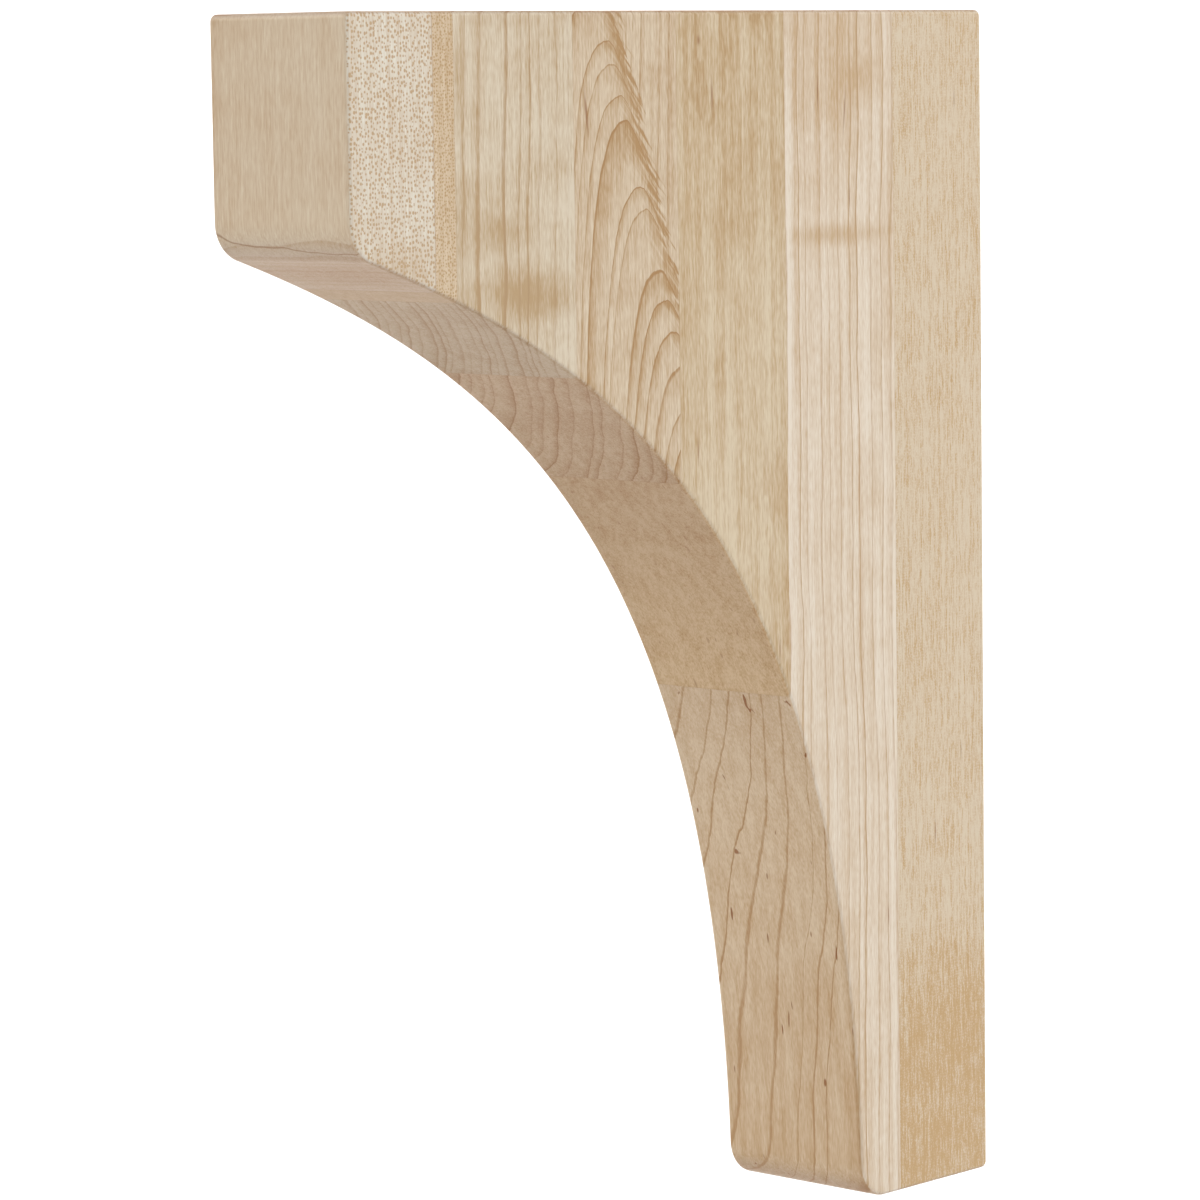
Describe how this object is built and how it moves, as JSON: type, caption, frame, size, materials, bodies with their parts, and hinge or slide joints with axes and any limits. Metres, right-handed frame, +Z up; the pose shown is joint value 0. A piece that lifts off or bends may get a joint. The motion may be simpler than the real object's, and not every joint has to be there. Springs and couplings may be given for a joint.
{
  "type": "wooden corbel bracket",
  "caption": "Plain wooden corbel bracket of edge-glued upright staves, with a flat top and back and a hollow curved underside, for holding up a shelf or worktop.",
  "frame": {"origin": "middle of the flat back face, which lies against the wall", "axes": "+Z up along the height and the grain, +Y out of the back face into the wall, +X across the thickness"},
  "size_m": [0.0382, 0.1905, 0.254],
  "materials": {
    "fleck_maple": "unfinished, sanded",
    "pink_maple": "unfinished, sanded",
    "plain_maple": "unfinished, sanded",
    "flame_maple": "unfinished, sanded",
    "striped_maple": "unfinished, sanded",
    "golden_maple": "unfinished, sanded",
    "speckled_maple": "unfinished, sanded"
  },
  "bodies": {
    "root": {"wall_stave": "fleck_maple", "pink_stave": "pink_maple", "plain_stave": "plain_maple", "flame_stave": "flame_maple", "striped_stave": "striped_maple", "thin_strip": "golden_maple", "nose_stave": "speckled_maple"}
  },
  "joints": []
}
